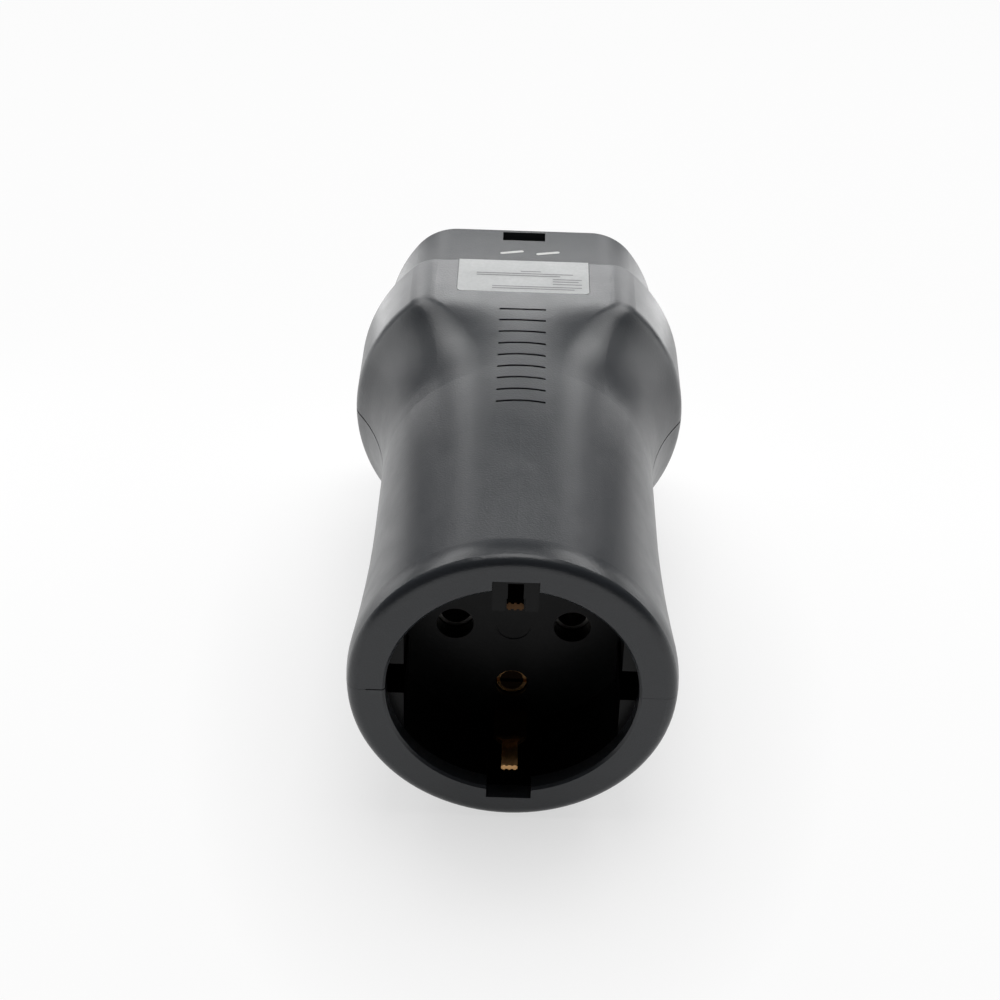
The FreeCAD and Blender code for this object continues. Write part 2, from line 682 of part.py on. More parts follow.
def ribbon(points, radii, thickness, x0, x1):
    """A bent strip: a path of straight runs and arcs in the YZ plane, given thickness and width."""
    def normal(direction):
        return V(0, -direction.z, direction.y)

    def side(shift):
        edges = []
        last = points[0] + normal((points[1] - points[0]).normalize()) * shift
        for i in range(1, len(points) - 1):
            corner = points[i]
            along = (corner - points[i - 1]).normalize()
            ahead = (points[i + 1] - corner).normalize()
            half = along.getAngle(ahead) / 2
            trim = radii[i - 1] * math.tan(half)
            inward = (ahead - along).normalize()
            middle = corner + inward * (radii[i - 1] / math.cos(half) - radii[i - 1])
            start = corner - along * trim + normal(along) * shift
            end = corner + ahead * trim + normal(ahead) * shift
            edges.append(Part.LineSegment(last, start).toShape())
            edges.append(arc(start, middle + normal((along + ahead).normalize()) * shift, end))
            last = end
        final = points[-1] + normal((points[-1] - points[-2]).normalize()) * shift
        edges.append(Part.LineSegment(last, final).toShape())
        return edges

    upper = side(thickness / 2)
    lower = side(-thickness / 2)
    caps = []
    for end in (0, -1):
        ends = (upper[end].Vertexes[end].Point, lower[end].Vertexes[end].Point)
        caps.append(Part.LineSegment(*ends).toShape())
    outline = Part.Wire(Part.__sortEdges__(upper + lower + caps))
    solid = Part.Face(outline).extrude(V(x1 - x0, 0, 0))
    solid.translate(V(x0, 0, 0))
    return solid


def clip_points():
    """The path of the upper earthing clip, from behind the socket floor to its tip."""
    back = FLOOR_BACK + STRIP_THICKNESS / 2
    return [
        V(0, back, SOCKET_SCREW_Z),
        V(0, back, CLIP_Z),
        V(0, CLIP_BEND_Y, CLIP_Z),
        V(0, CLIP_TOUCH_Y, CLIP_TOUCH_Z),
        V(0, CLIP_TIP_Y, CLIP_TIP_Z),
    ]


def clip_plan():
    """The clip seen from above: wide at the floor, narrow at the tip."""
    wide = CLIP_WIDTH / 2
    narrow = CLIP_TIP_WIDTH / 2
    outline = [
        V(-narrow, 0, 0), V(narrow, 0, 0), V(narrow, CLIP_TAPER_END, 0), V(wide, CLIP_TAPER_START, 0),
        V(wide, BRACKET_BACK + 1, 0), V(-wide, BRACKET_BACK + 1, 0), V(-wide, CLIP_TAPER_START, 0),
        V(-narrow, CLIP_TAPER_END, 0), V(-narrow, 0, 0),
    ]
    return Part.Face(Part.makePolygon(outline)).extrude(V(0, 0, 2 * CLIP_Z))


def earth_clip():
    """The upper clip, with three ridges along its tip."""
    radii = (CLIP_BEND_R, CLIP_KNEE_R, CLIP_TOUCH_R)
    half = CLIP_WIDTH / 2
    strip = ribbon(clip_points(), radii, STRIP_THICKNESS, -half, half).common(clip_plan())
    thick = ribbon(clip_points(), radii, STRIP_THICKNESS + 2 * CLIP_RIDGE, -half, half)
    pieces = [strip]
    for i in (-1, 0, 1):
        x = i * CLIP_TIP_WIDTH / 3
        ridge = block(x - CLIP_RIDGE, x + CLIP_RIDGE, CLIP_TIP_Y - 2, CLIP_TAPER_END, 0, CLIP_Z)
        pieces.append(thick.common(ridge))
    return pieces[0].fuse(pieces[1:])


def make_earth_bracket():
    """The strip behind the socket floor, its two clips and its tail with a crimp barrel."""
    half = BRACKET_WIDTH / 2
    end = SOCKET_SCREW_Z + BRACKET_PAST_SCREW
    plate = block(-half, half, FLOOR_BACK, BRACKET_BACK, -end, end)
    upper = earth_clip()
    lower = upper.mirror(V(0, 0, 0), V(0, 0, 1))
    tail_half = EARTH_TAIL_WIDTH / 2
    tail = block(-tail_half, tail_half, FLOOR_BACK, CONTACT_STEP + BARREL_OVERLAP,
                 EARTH_TAIL_Z - STRIP_THICKNESS / 2, EARTH_TAIL_Z + STRIP_THICKNESS / 2)
    barrel = rod(BARREL_R, CONTACT_STEP, SOCKET_BARREL_END, 0, EARTH_TAIL_Z)
    core_end = SOCKET_BARREL_END - STRIP_LENGTH - CORE_END_GAP
    core = rod(CORE_R + CORE_FIT, core_end, SOCKET_BARREL_END, 0, EARTH_TAIL_Z)
    holes = [rod(SOCKET_SCREW_R + FIT, 0, BASE_BACK, 0, side * SOCKET_SCREW_Z) for side in (-1, 1)]
    return join(plate, upper, lower, tail, barrel).cut([core] + holes)


def make_socket_base():
    """The block behind the floor that holds the contacts."""
    base = rod(BASE_R, FLOOR_BACK, BASE_BACK)
    bore_r = PIN_R + THREAD_FIT + CONTACT_WALL + FIT
    half = BRACKET_WIDTH / 2 + SLIP
    cuts = [block(-half, half, FLOOR_BACK - 1, BRACKET_BACK, -CLIP_Z - 1, CLIP_Z + 1)]
    for side in (-1, 1):
        cuts.append(rod(bore_r, FLOOR_BACK - 1, CONTACT_STEP, side * PIN_PITCH / 2, 0))
        cuts.append(rod(BARREL_R + FIT, CONTACT_STEP - 1, BASE_BACK + 1, side * PIN_PITCH / 2, 0))
        depth = SOCKET_SCREW_SEAT + SOCKET_SCREW_LENGTH + SCREW_END_GAP
        cuts.append(rod(SOCKET_SCREW_R + THREAD_FIT, FLOOR_BACK - 1, depth, 0, side * SOCKET_SCREW_Z))
    cuts.append(rod(BARREL_R + FIT, FLOOR_BACK - 1, BASE_BACK + 1, 0, EARTH_TAIL_Z))
    return base.cut(cuts)


def make_socket_contact(side):
    """A slit tube that grips the plug pin, with a crimp barrel behind."""
    x = side * PIN_PITCH / 2
    inner = PIN_R + THREAD_FIT
    outer = inner + CONTACT_WALL
    tube_end = CONTACT_STEP - 1
    body = rod(outer, CONTACT_FRONT, CONTACT_STEP, x, 0).cut(rod(inner, CONTACT_FRONT, tube_end, x, 0))
    barrel = rod(BARREL_R, tube_end, SOCKET_BARREL_END, x, 0)
    core_end = SOCKET_BARREL_END - STRIP_LENGTH - CORE_END_GAP
    core = rod(CORE_R + CORE_FIT, core_end, SOCKET_BARREL_END, x, 0)
    slit_end = CONTACT_FRONT + CONTACT_SLIT_LENGTH
    slit = block(x - outer, x + outer, CONTACT_FRONT - 1, slit_end, -CONTACT_SLIT / 2, CONTACT_SLIT / 2)
    return join(body, barrel).cut([core, slit])


def make_socket_screws():
    """The two screws in the socket floor."""
    return [screw_along_y(0, side * SOCKET_SCREW_Z, SOCKET_SCREW_SEAT, SOCKET_SCREW_LENGTH, SOCKET_SCREW_R,
                          SOCKET_HEAD_R, SOCKET_HEAD_HEIGHT) for side in (-1, 1)]


# The connector
def make_nose_housing():
    """The D-shaped shroud with its flange and latch slot."""
    body = d_prism(PLATE_FRONT, NOSE_TIP, 0.0)
    body = body.makeFillet(NOSE_TIP_ROUND, edges_at(body, NOSE_TIP))
    body = body.fuse(d_prism(FLANGE_FRONT, FLANGE_BACK, FLANGE_WIDTH))
    body = body.cut(d_prism(PLATE_FRONT - 1, SLEEVE_LEDGE_Y, CARRIER_LEDGE - NOSE_WALL))
    body = body.cut(d_prism(SLEEVE_LEDGE_Y - 1, NOSE_TIP + 1, -NOSE_WALL))
    back = NOSE_TIP - LATCH_FROM_TIP
    half = LATCH_WIDTH / 2
    slot = block(-half, half, back - LATCH_LENGTH, back, NOSE_TOP - NOSE_WALL - 1, NOSE_TOP + 1)
    return body.cut(slot).removeSplitter()


def sleeve_sizes(signal):
    """The pin radius, the sleeve's outer radius and the tube's outer radius."""
    pin = SIGNAL_PIN_R if signal else POWER_PIN_R
    wall = SIGNAL_SLEEVE_WALL if signal else SLEEVE_WALL
    sleeve = pin + THREAD_FIT + wall
    return pin, sleeve, sleeve + SLIP + TUBE_WALL


def make_contact_carrier():
    """The plate with its seven insulating tubes."""
    plate = d_prism(PLATE_FRONT, SLEEVE_LEDGE_Y, CARRIER_LEDGE - NOSE_WALL - SLIP)
    tubes = []
    bores = []
    power = list(POWER_PLACES.values()) + list(BLANK_PLACES)
    signal = list(SIGNAL_PLACES.values())
    for places, is_signal in ((power, False), (signal, True)):
        pin, sleeve, outer = sleeve_sizes(is_signal)
        for x, z in places:
            tubes.append(rod(outer, PLATE_FRONT, TUBE_END, x, z))
            bores.append(rod(sleeve + SLIP, PLATE_FRONT - 1, TUBE_END - TUBE_LIP, x, z))
            bores.append(rod(pin + 3 * SLIP, PLATE_FRONT, TUBE_END + 1, x, z))
            flange_r = sleeve + CONTACT_FLANGE_WIDTH + SLIP
            bores.append(rod(flange_r, PLATE_FRONT - 1, PLATE_FRONT + CONTACT_FLANGE_THICKNESS, x, z))
    for x, z in RETAINER_SCREWS:
        depth = RETAINER_FRONT + RETAINER_SCREW_LENGTH + SHORT_END_GAP
        bores.append(rod(RETAINER_SCREW_R + THREAD_FIT, PLATE_FRONT - 1, depth, x, z))
    return plate.fuse(tubes).cut(bores).removeSplitter()


def make_retainer():
    """The plate that closes the back of the carrier."""
    plate = d_prism(RETAINER_FRONT, PLATE_FRONT, 0.0).common(housing_body(WALL + FIT))
    holes = [(NOSE_BARREL_R, place) for place in POWER_PLACES.values()]
    holes += [(SIGNAL_PIN_R, place) for place in SIGNAL_PLACES.values()]
    holes += [(RETAINER_SCREW_R, place) for place in RETAINER_SCREWS]
    return plate.cut([rod(r + FIT, RETAINER_FRONT - 1, PLATE_FRONT + 1, x, z) for r, (x, z) in holes])


def make_sleeve_contact(x, z, signal):
    """A sleeve with sprung fingers, a flange, and a crimp barrel or a solder tail."""
    pin, sleeve, outer = sleeve_sizes(signal)
    shoulder = PLATE_FRONT + CONTACT_FLANGE_THICKNESS
    body = rod(sleeve, PLATE_FRONT, SLEEVE_END, x, z)
    flange = rod(sleeve + CONTACT_FLANGE_WIDTH, PLATE_FRONT, shoulder, x, z)
    cuts = [rod(pin + THREAD_FIT, shoulder + SLEEVE_BASE, SLEEVE_END + 1, x, z)]
    half = SLEEVE_SLOT / 2
    slit = SLEEVE_END - SLEEVE_SLOT_LENGTH
    cuts.append(block(x - sleeve, x + sleeve, slit, SLEEVE_END + 1, z - half, z + half))
    cuts.append(block(x - half, x + half, slit, SLEEVE_END + 1, z - sleeve, z + sleeve))
    if signal:
        tail = rod(SIGNAL_PIN_R, RETAINER_FRONT - SIGNAL_TAIL_LENGTH, PLATE_FRONT, x, z)
    else:
        tail = rod(NOSE_BARREL_R, NOSE_BARREL_END, PLATE_FRONT, x, z)
        core_end = NOSE_BARREL_END + STRIP_LENGTH + CORE_END_GAP
        cuts.append(rod(CORE_R + CORE_FIT, NOSE_BARREL_END - 1, core_end, x, z))
    return join(body, flange, tail).cut(cuts)


def make_retainer_screws():
    """The screws that pull the retainer and the carrier together."""
    return [screw_along_y(x, z, RETAINER_FRONT, RETAINER_SCREW_LENGTH, RETAINER_SCREW_R,
                          RETAINER_HEAD_R, RETAINER_HEAD_HEIGHT) for x, z in RETAINER_SCREWS]


def make_gasket():
    """The seal between the flange and the housing's rear wall."""
    ring = d_prism(FLANGE_BACK, COLLAR_CAVITY_END, FLANGE_WIDTH)
    return ring.cut(d_prism(FLANGE_BACK - 1, COLLAR_CAVITY_END + 1, FIT))


# The wiring
def rounded_route(points):
    """A path of straight runs joined by arcs as large as the runs allow."""
    edges = []
    last = points[0]
    for i in range(1, len(points) - 1):
        corner = points[i]
        back = points[i - 1] - corner
        ahead = points[i + 1] - corner
        run = min(back.Length, ahead.Length)
        back.normalize()
        ahead.normalize()
        half = back.getAngle(ahead) / 2
        trim = BEND_SHARE * run
        radius = trim * math.tan(half)
        start = corner + back * trim
        end = corner + ahead * trim
        bisector = (back + ahead).normalize()
        middle = corner + bisector * (radius / math.sin(half) - radius)
        edges.append(Part.LineSegment(last, start).toShape())
        edges.append(arc(start, middle, end))
        last = end
    edges.append(Part.LineSegment(last, points[-1]).toShape())
    return Part.Wire(edges)


def make_wire(start, end):
    """An insulated wire between two crimp barrels that face each other along Y, with bared ends."""
    y0 = SOCKET_BARREL_END
    y1 = NOSE_BARREL_END
    a = V(start[0], y0, start[1])
    d = V(end[0], y1, end[1])
    route = rounded_route([a, a + V(0, WIRE_STRAIGHT, 0), d - V(0, WIRE_STRAIGHT, 0), d])
    section = Part.Wire(Part.Circle(a, V(0, 1, 0), WIRE_R).toShape())
    cover = route.makePipeShell([section], True, True)
    bare = rod(CORE_R, y0 - STRIP_LENGTH, y0 + 1, start[0], start[1])
    other = rod(CORE_R, y1 - 1, y1 + STRIP_LENGTH, end[0], end[1])
    return cover.fuse([bare, other])


def make_board():
    """The small board behind the signal contacts."""
    back = BOARD_FRONT + BOARD_THICKNESS
    board = block(-BOARD_WIDTH / 2, BOARD_WIDTH / 2, BOARD_FRONT, back, BOARD_LOW, BOARD_HIGH)
    cuts = [rod(SIGNAL_PIN_R + SLIP, BOARD_FRONT - 1, back + 1, x, z) for x, z in SIGNAL_PLACES.values()]
    for x, z, reach in board_parts():
        for side in (-1, 1):
            cuts.append(rod(LEAD_R + THREAD_FIT, BOARD_FRONT - 1, back + 1, x + side * reach, z))
    return board.cut(cuts)


def board_parts():
    """Place and lead reach of the two resistors and the diode."""
    resistor_reach = RESISTOR_LENGTH / 2 + LEAD_REACH - RESISTOR_TUCK
    diode_reach = DIODE_LENGTH / 2 + LEAD_REACH
    high = SIGNAL_RISE + RESISTOR_RISE
    resistors = [(side * RESISTOR_X, high, resistor_reach) for side in (-1, 1)]
    return (*resistors, (0.0, SIGNAL_RISE, diode_reach))


def make_axial(place, body_r, length):
    """A part with a round body lying on the board and two bent leads."""
    x, z, reach = place
    y = BOARD_FRONT - body_r - SLIP
    body = Part.makeCylinder(body_r, length, V(x - length / 2, y, z), V(1, 0, 0))
    bar = Part.makeCylinder(LEAD_R, 2 * reach, V(x - reach, y, z), V(1, 0, 0))
    end = BOARD_FRONT + BOARD_THICKNESS + LEAD_PROUD
    legs = [rod(LEAD_R, y, end, x + side * reach, z) for side in (-1, 1)]
    knees = [Part.makeSphere(LEAD_R, V(x + side * reach, y, z)) for side in (-1, 1)]
    return join(body, bar, *legs, *knees)


def make_link():
    """The short wire from the board down to the earth contact."""
    y = BOARD_FRONT + BOARD_THICKNESS / 2
    x, z = POWER_PLACES["earth_contact"]
    return post(LINK_R, z + NOSE_BARREL_R + SLIP, BOARD_LOW, x, y)


# Assembly
def make_parts():
    """Every node by name."""
    upper, lower = make_shells()
    resistor_a, resistor_b, diode = board_parts()
    tail = (0.0, EARTH_TAIL_Z)
    parts = {
        "upper_shell": upper,
        "lower_shell": lower,
        "rating_label": make_label(),
        "socket_insert": make_socket_insert(),
        "socket_base": make_socket_base(),
        "socket_contact_left": make_socket_contact(-1),
        "socket_contact_right": make_socket_contact(1),
        "earth_bracket": make_earth_bracket(),
        "socket_screws": Part.makeCompound(make_socket_screws()),
        "nose_housing": make_nose_housing(),
        "contact_carrier": make_contact_carrier(),
        "contact_retainer": make_retainer(),
        "retainer_screws": Part.makeCompound(make_retainer_screws()),
        "nose_gasket": make_gasket(),
        "signal_board": make_board(),
        "proximity_resistor": make_axial(resistor_a, RESISTOR_R, RESISTOR_LENGTH),
        "pilot_resistor": make_axial(resistor_b, RESISTOR_R, RESISTOR_LENGTH),
        "pilot_diode": make_axial(diode, DIODE_R, DIODE_LENGTH),
        "board_earth_wire": make_link(),
        "line_wire": make_wire((PIN_PITCH / 2, 0.0), POWER_PLACES["line_contact"]),
        "neutral_wire": make_wire((-PIN_PITCH / 2, 0.0), POWER_PLACES["neutral_contact"]),
        "earth_wire": make_wire(tail, POWER_PLACES["earth_contact"]),
        "housing_screws": Part.makeCompound([housing_screw(x, y) for x, y in BOSS_PLACES]),
    }
    for name, (x, z) in POWER_PLACES.items():
        parts[name] = make_sleeve_contact(x, z, False)
    for name, (x, z) in SIGNAL_PLACES.items():
        parts[name] = make_sleeve_contact(x, z, True)
    return parts


def main():
    """Write one file per node."""
    os.makedirs("parts", exist_ok=True)
    for name, shape in make_parts().items():
        print(name, len(shape.Solids), "solids", round(shape.Volume, 1), "mm3", shape.isValid())
        shape.exportStep("parts/" + name + ".step")


main()
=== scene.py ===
"""Charging adapter: a household socket in front, a D-shaped vehicle connector at the rear, and a grip between."""

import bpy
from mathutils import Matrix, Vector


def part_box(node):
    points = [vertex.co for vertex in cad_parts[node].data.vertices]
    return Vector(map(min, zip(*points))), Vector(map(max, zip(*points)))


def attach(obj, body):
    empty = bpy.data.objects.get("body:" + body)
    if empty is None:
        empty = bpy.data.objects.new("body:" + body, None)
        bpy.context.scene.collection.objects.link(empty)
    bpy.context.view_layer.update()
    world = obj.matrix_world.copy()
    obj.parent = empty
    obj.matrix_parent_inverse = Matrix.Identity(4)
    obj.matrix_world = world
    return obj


bl_info = {
    "name": "Charging adapter",
    "version": (1, 0, 0),
    "blender": (4, 5, 0),
    "location": "View3D > Sidebar > Adapter",
    "description": "Finishes, printed marks and studio for the charging adapter",
    "category": "Object",
}

import math

import bmesh
import bpy
from bpy.props import FloatProperty, FloatVectorProperty, PointerProperty
from mathutils import Matrix, Vector

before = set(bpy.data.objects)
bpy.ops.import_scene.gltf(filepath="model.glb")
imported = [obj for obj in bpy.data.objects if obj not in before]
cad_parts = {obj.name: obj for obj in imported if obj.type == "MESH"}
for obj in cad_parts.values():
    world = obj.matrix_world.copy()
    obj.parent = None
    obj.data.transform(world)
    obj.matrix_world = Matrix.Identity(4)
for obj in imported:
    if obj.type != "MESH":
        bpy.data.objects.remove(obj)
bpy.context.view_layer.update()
LABEL_LOW, LABEL_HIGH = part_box("rating_label")
_, NOSE_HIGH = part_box("nose_housing")

MM = 0.001
BODY = "root"

# How far a plastic's roughness varies, and how deep its grain is as a share of the grain size
GLOSS_SPREAD = 0.03
GRAIN_DEPTH = 0.12


# Node trees
def new_finish(name):
    """An empty material with its output, its shader and the object's own coordinates."""
    material = bpy.data.materials.new(name)
    material.use_nodes = True
    tree = material.node_tree
    tree.nodes.clear()
    output = tree.nodes.new("ShaderNodeOutputMaterial")
    shader = tree.nodes.new("ShaderNodeBsdfPrincipled")
    tree.links.new(shader.outputs["BSDF"], output.inputs["Surface"])
    place = tree.nodes.new("ShaderNodeTexCoord")
    return material, tree, shader, place.outputs["Object"]


def noise(tree, place, scale, detail=2.0, roughness=0.5):
    """Noise with cells of 1 / scale metres."""
    node = tree.nodes.new("ShaderNodeTexNoise")
    node.inputs["Scale"].default_value = scale
    node.inputs["Detail"].default_value = detail
    node.inputs["Roughness"].default_value = roughness
    tree.links.new(place, node.inputs["Vector"])
    return node.outputs["Fac"]


def spread(tree, value, low, high, out_low, out_high):
    """Maps a value's range to another range."""
    node = tree.nodes.new("ShaderNodeMapRange")
    node.inputs["From Min"].default_value = low
    node.inputs["From Max"].default_value = high
    node.inputs["To Min"].default_value = out_low
    node.inputs["To Max"].default_value = out_high
    tree.links.new(value, node.inputs["Value"])
    return node.outputs["Result"]


def blend_colour(tree, share, first, second):
    """Mixes two colours or colour outputs by a share."""
    node = tree.nodes.new("ShaderNodeMix")
    node.data_type = "RGBA"
    tree.links.new(share, node.inputs["Factor"])
    for socket, colour in ((node.inputs["A"], first), (node.inputs["B"], second)):
        if hasattr(colour, "is_linked"):
            tree.links.new(colour, socket)
        else:
            socket.default_value = (*colour, 1.0)
    return node.outputs["Result"]


def raise_surface(tree, height, distance, strength):
    """A bump from a height."""
    node = tree.nodes.new("ShaderNodeBump")
    node.inputs["Distance"].default_value = distance
    node.inputs["Strength"].default_value = strength
    tree.links.new(height, node.inputs["Height"])
    return node.outputs["Normal"]


def shade(colour, factor):
    """A colour made darker or lighter, and no lighter than white."""
    return tuple(min(c * factor, 1.0) for c in colour)


def moulded_plastic(name, colour, rough, grain, grain_size, specular=0.4):
    """A moulded plastic with a fine eroded grain, faint flow marks and uneven gloss."""
    material, tree, shader, place = new_finish(name)
    flow = spread(tree, noise(tree, place, 55.0, 3.0), 0.3, 0.7, 0.0, 1.0)
    shader_colour = blend_colour(tree, flow, shade(colour, 0.97), shade(colour, 1.03))
    speck = spread(tree, noise(tree, place, 1.0 / grain_size, 2.0), 0.35, 0.7, 0.0, 1.0)
    speck_share = spread(tree, speck, 0.0, 1.0, 0.0, 0.3)
    shader_colour = blend_colour(tree, speck_share, shader_colour, shade(colour, 1.25))
    tree.links.new(shader_colour, shader.inputs["Base Color"])
    patches = noise(tree, place, 210.0, 4.0, 0.6)
    gloss = spread(tree, patches, 0.3, 0.7, rough - GLOSS_SPREAD, rough + GLOSS_SPREAD)
    tree.links.new(gloss, shader.inputs["Roughness"])
    shader.inputs["Specular IOR Level"].default_value = specular
    tree.links.new(raise_surface(tree, speck, grain_size * GRAIN_DEPTH, grain), shader.inputs["Normal"])
    return material


def drawn_metal(name, colour, rough, streak_axis, streak):
    """A metal with streaks along one axis, and dull patches."""
    material, tree, shader, place = new_finish(name)
    shader.inputs["Metallic"].default_value = 1.0
    stretch = tree.nodes.new("ShaderNodeMapping")
    stretch.inputs["Scale"].default_value = [0.04 if axis == streak_axis else 1.0 for axis in range(3)]
    tree.links.new(place, stretch.inputs["Vector"])
    lines = noise(tree, stretch.outputs["Vector"], 4200.0, 3.0, 0.6)
    dull = spread(tree, noise(tree, place, 330.0, 3.0), 0.35, 0.7, 0.0, 1.0)
    tree.links.new(blend_colour(tree, dull, colour, shade(colour, 0.72)), shader.inputs["Base Color"])
    gloss = spread(tree, dull, 0.0, 1.0, rough, rough + 0.18)
    tree.links.new(gloss, shader.inputs["Roughness"])
    tree.links.new(raise_surface(tree, lines, 0.00002, streak), shader.inputs["Normal"])
    return material


def math_node(tree, operation, first, second=0.0):
    """One operation on two values or value outputs."""
    node = tree.nodes.new("ShaderNodeMath")
    node.operation = operation
    for socket, value in zip(node.inputs, (first, second)):
        if hasattr(value, "is_linked"):
            tree.links.new(value, socket)
        else:
            socket.default_value = value
    return node.outputs["Value"]


def paint_metal_shade(material, share_of, dull):
    """Darkens and roughens a metal where share_of, a function of its tree and its X, Y and Z, gives 1, broken up by
    random patches: painted shade.
    """
    tree = material.node_tree
    shader = next(node for node in tree.nodes if node.bl_idname == "ShaderNodeBsdfPrincipled")
    place = next(node for node in tree.nodes if node.bl_idname == "ShaderNodeTexCoord").outputs["Object"]
    split = tree.nodes.new("ShaderNodeSeparateXYZ")
    tree.links.new(place, split.inputs["Vector"])
    share = share_of(tree, split.outputs["X"], split.outputs["Y"], split.outputs["Z"])
    patches = spread(tree, noise(tree, place, 700.0, 3.0), 0.3, 0.7, -0.25, 0.25)
    share = spread(tree, math_node(tree, "ADD", share, patches), 0.2, 0.8, 0.0, 1.0)
    colour = shader.inputs["Base Color"].links[0].from_socket
    tree.links.new(blend_colour(tree, share, colour, dull), shader.inputs["Base Color"])
    gloss = shader.inputs["Roughness"].links[0].from_socket
    duller = math_node(tree, "ADD", gloss, spread(tree, share, 0.0, 1.0, 0.0, 0.25))
    tree.links.new(duller, shader.inputs["Roughness"])


def soft_rubber(name, colour):
    """A dull rubber with a powdery bloom."""
    material, tree, shader, place = new_finish(name)
    bloom = spread(tree, noise(tree, place, 260.0, 4.0, 0.6), 0.4, 0.75, 0.0, 0.4)
    tree.links.new(blend_colour(tree, bloom, colour, shade(colour, 2.2)), shader.inputs["Base Color"])
    shader.inputs["Roughness"].default_value = 0.85
    tree.links.new(raise_surface(tree, noise(tree, place, 1900.0), 0.00003, 0.3), shader.inputs["Normal"])
    return material


def film(name, colour):
    """A printed film with a dull varnish."""
    material, tree, shader, place = new_finish(name)
    fibre = spread(tree, noise(tree, place, 1500.0, 3.0), 0.35, 0.7, 0.0, 1.0)
    tree.links.new(blend_colour(tree, fibre, shade(colour, 0.95), shade(colour, 1.04)), shader.inputs["Base Color"])
    tree.links.new(spread(tree, noise(tree, place, 300.0), 0.3, 0.7, 0.4, 0.52), shader.inputs["Roughness"])
    tree.links.new(raise_surface(tree, fibre, 0.00001, 0.2), shader.inputs["Normal"])
    return material


def wire_cover(name, colour, stripe=None):
    """A glossy wire cover, with a stripe wound round it if a second colour is given."""
    material, tree, shader, place = new_finish(name)
    shader.inputs["Roughness"].default_value = 0.38
    patches = spread(tree, noise(tree, place, 240.0), 0.35, 0.7, 0.0, 1.0)
    base = blend_colour(tree, patches, colour, shade(colour, 0.85))
    if stripe is not None:
        band = tree.nodes.new("ShaderNodeTexWave")
        band.inputs["Scale"].default_value = 55.0
        band.inputs["Distortion"].default_value = 0.4
        tree.links.new(place, band.inputs["Vector"])
        base = blend_colour(tree, spread(tree, band.outputs["Fac"], 0.48, 0.52, 0.0, 1.0), base, stripe)
    tree.links.new(base, shader.inputs["Base Color"])
    tree.links.new(raise_surface(tree, noise(tree, place, 900.0), 0.00002, 0.2), shader.inputs["Normal"])
    return material


def board_finish(name, colour, copper):
    """Solder resist over copper tracks that show as lighter bands."""
    material, tree, shader, place = new_finish(name)
    track = tree.nodes.new("ShaderNodeTexWave")
    track.inputs["Scale"].default_value = 90.0
    track.inputs["Distortion"].default_value = 3.0
    tree.links.new(place, track.inputs["Vector"])
    share = spread(tree, track.outputs["Fac"], 0.72, 0.78, 0.0, 0.5)
    tree.links.new(blend_colour(tree, share, colour, copper), shader.inputs["Base Color"])
    shader.inputs["Roughness"].default_value = 0.3
    tree.links.new(raise_surface(tree, share, 0.00003, 0.5), shader.inputs["Normal"])
    return material


def banded_body(name, colour, bands, centre, pitch, width):
    """A lacquered body with rings across X round a centre, one for each band colour."""
    material, tree, shader, place = new_finish(name)
    split = tree.nodes.new("ShaderNodeSeparateXYZ")
    tree.links.new(place, split.inputs["Vector"])
    patches = spread(tree, noise(tree, place, 500.0), 0.3, 0.7, 0.0, 1.0)
    base = blend_colour(tree, patches, colour, shade(colour, 0.88))
    start = centre - pitch * (len(bands) - 1) / 2
    for i, band in enumerate(bands):
        near = tree.nodes.new("ShaderNodeMath")
        near.operation = "COMPARE"
        near.inputs[1].default_value = start + i * pitch
        near.inputs[2].default_value = width / 2
        tree.links.new(split.outputs["X"], near.inputs[0])
        base = blend_colour(tree, near.outputs["Value"], base, band)
    tree.links.new(base, shader.inputs["Base Color"])
    shader.inputs["Roughness"].default_value = 0.3
    return material


# Pieces and nodes
def finish_node(name, material):
    """Gives a carried-over node a finish."""
    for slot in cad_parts[name].material_slots:
        slot.material = material


def add_piece(name, shape, material):
    """Makes a piece from a bmesh that already stands in its place."""
    mesh = bpy.data.meshes.new(name)
    shape.to_mesh(mesh)
    shape.free()
    mesh.materials.append(material)
    piece = bpy.data.objects.new(name, mesh)
    bpy.context.scene.collection.objects.link(piece)
    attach(piece, BODY)
    return piece


def rounded_strip(shape, width, length, thickness, slant, place):
    """Adds a flat mark with round ends that leans by the slant."""
    made = bmesh.ops.create_circle(shape, cap_ends=True, segments=24, radius=width / 2)["verts"]
    for v in made:
        v.co.y += math.copysign((length - width) / 2, v.co.y) if abs(v.co.y) > 1e-7 else 0.0
    face = made[0].link_faces[0]
    grown = bmesh.ops.extrude_face_region(shape, geom=[face])["geom"]
    top = [g for g in grown if isinstance(g, bmesh.types.BMVert)]
    bmesh.ops.translate(shape, verts=top, vec=(0, 0, thickness))
    everything = made + top
    bmesh.ops.rotate(shape, verts=everything, cent=(0, 0, 0), matrix=Matrix.Rotation(slant, 3, "Z"))
    bmesh.ops.translate(shape, verts=everything, vec=place)


def label_mark(shape, corners, thickness, frame_width=None):
    """Adds a plain bar on the label, or the empty frame of a field if a frame width is given."""
    x0, x1, y0, y1 = (c * MM for c in corners)
    bar = bmesh.ops.create_grid(shape, x_segments=1, y_segments=1, size=0.5)["verts"]
    bmesh.ops.scale(shape, verts=bar, vec=(x1 - x0, y1 - y0, 1.0))
    place = LABEL_LOW + Vector(((x0 + x1) / 2, (y0 + y1) / 2, 0.0))
    bmesh.ops.translate(shape, verts=bar, vec=(place.x, place.y, LABEL_HIGH.z + thickness))
    face = bar[0].link_faces[0]
    if frame_width is not None:
        bmesh.ops.inset_region(shape, faces=[face], thickness=frame_width / 2)
        bmesh.ops.delete(shape, geom=[face], context="FACES")


